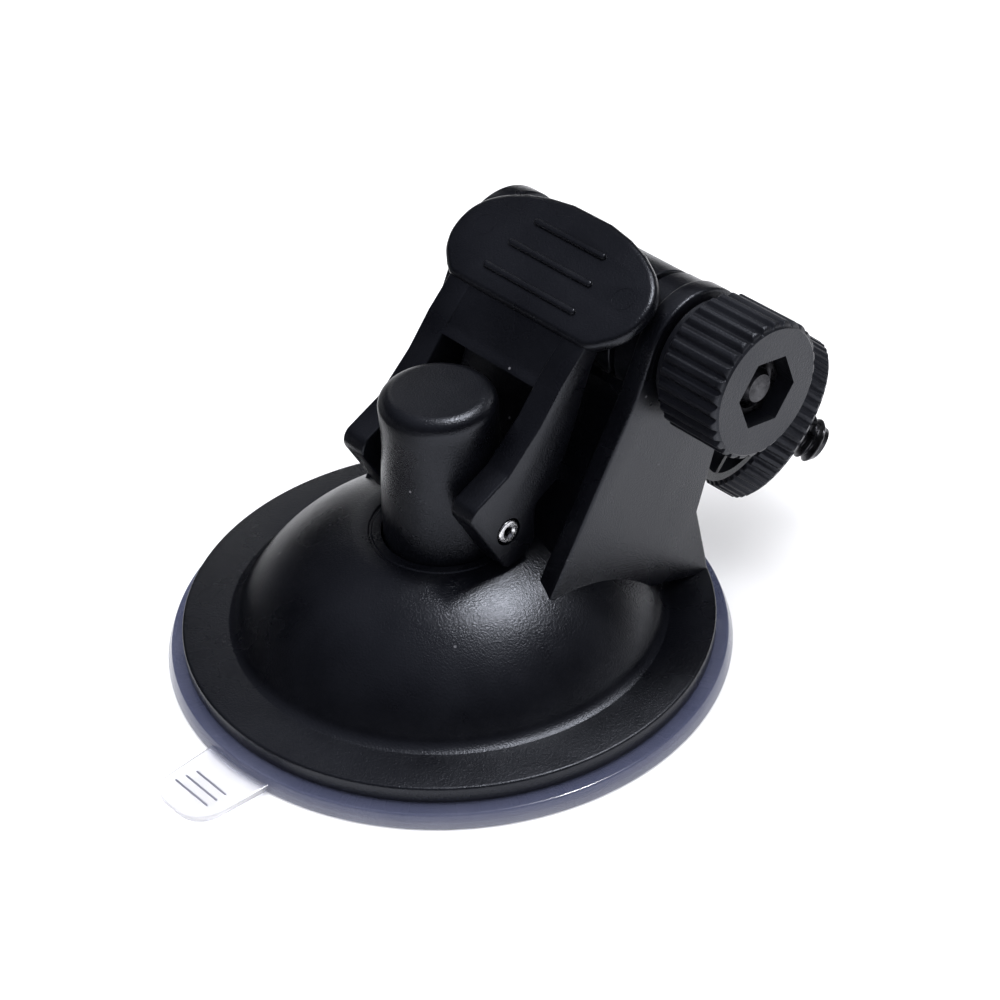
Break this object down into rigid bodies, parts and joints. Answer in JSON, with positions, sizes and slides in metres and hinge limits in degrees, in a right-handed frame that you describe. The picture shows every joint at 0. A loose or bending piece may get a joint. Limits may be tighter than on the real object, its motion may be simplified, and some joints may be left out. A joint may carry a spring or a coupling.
{
  "type": "suction cup windscreen mount",
  "caption": "Suction-cup windscreen mount for a dash camera: cam lever over a domed base, tilt hinge with clamp knob, and a ball head with thumb-wheel camera screw.",
  "frame": {"origin": "middle of the suction cup's sticking face", "axes": "+Z away from the windscreen through the plunger, +X along the tilt hinge towards the knob, +Y from the plunger to the upright"},
  "size_m": [0.0744, 0.1062, 0.0528],
  "materials": {
    "clear_pvc": "clear soft PVC with a faint violet-grey tint, glossy",
    "black_abs": "injection-moulded black ABS with a fine spark texture",
    "grained_abs": "black ABS with a coarser granular face",
    "black_nylon": "smooth black nylon",
    "zinc_steel": "bright zinc-plated steel",
    "black_steel": "black-oxide steel, lightly oiled"
  },
  "bodies": {
    "base": {"base_housing": "black_abs", "suction_cup": "clear_pvc", "return_spring": "zinc_steel", "hinge_bolt": "black_steel", "friction_washer_near": "black_nylon", "friction_washer_far": "black_nylon"},
    "plunger": {"plunger": "black_abs", "cup_anchor": "black_nylon", "anchor_screw": "zinc_steel", "lever_pin": "zinc_steel"},
    "lever": {"lever": "black_abs"},
    "tilt_head": {"tilt_head": "black_abs"},
    "ball_stud": {"swivel_ball": "black_nylon"},
    "camera_screw": {"camera_screw": "black_steel", "screw_clip": "zinc_steel", "thumb_wheel": "grained_abs"},
    "knob": {"clamp_knob": "grained_abs", "hinge_nut": "black_steel"}
  },
  "joints": [
    {"name": "lever_cam", "type": "hinge", "parent": "plunger", "child": "lever", "pos_m": [0, 0, 0.0238], "axis": [1, 0, 0], "range_deg": [0, 60]},
    {"name": "plunger_travel", "type": "slide", "parent": "base", "child": "plunger", "axis": [0, 0, 1], "range_m": [-0.00157, 0], "deforming": ["return_spring"]},
    {"name": "head_tilt", "type": "hinge", "parent": "base", "child": "tilt_head", "pos_m": [0, 0.0271, 0.0402], "axis": [1, 0, 0], "range_deg": [-9, 105]},
    {"name": "ball_swing", "type": "hinge", "parent": "tilt_head", "child": "ball_stud", "pos_m": [0, 0.0375, 0.0276], "axis": [0, 0.6972, 0.7169], "range_deg": [0, 71]},
    {"name": "screw_spin", "type": "hinge", "parent": "ball_stud", "child": "camera_screw", "pos_m": [0, 0.0375, 0.0276], "axis": [0.5821, 0.5829, -0.5669], "continuous": true},
    {"name": "knob_spin", "type": "hinge", "parent": "base", "child": "knob", "pos_m": [0.0186, 0.0271, 0.0402], "axis": [1, 0, 0], "continuous": true}
  ],
  "couplings": [
    {"joint": "lever_cam", "follows": "plunger_travel", "rad_per_m": -666.67}
  ]
}
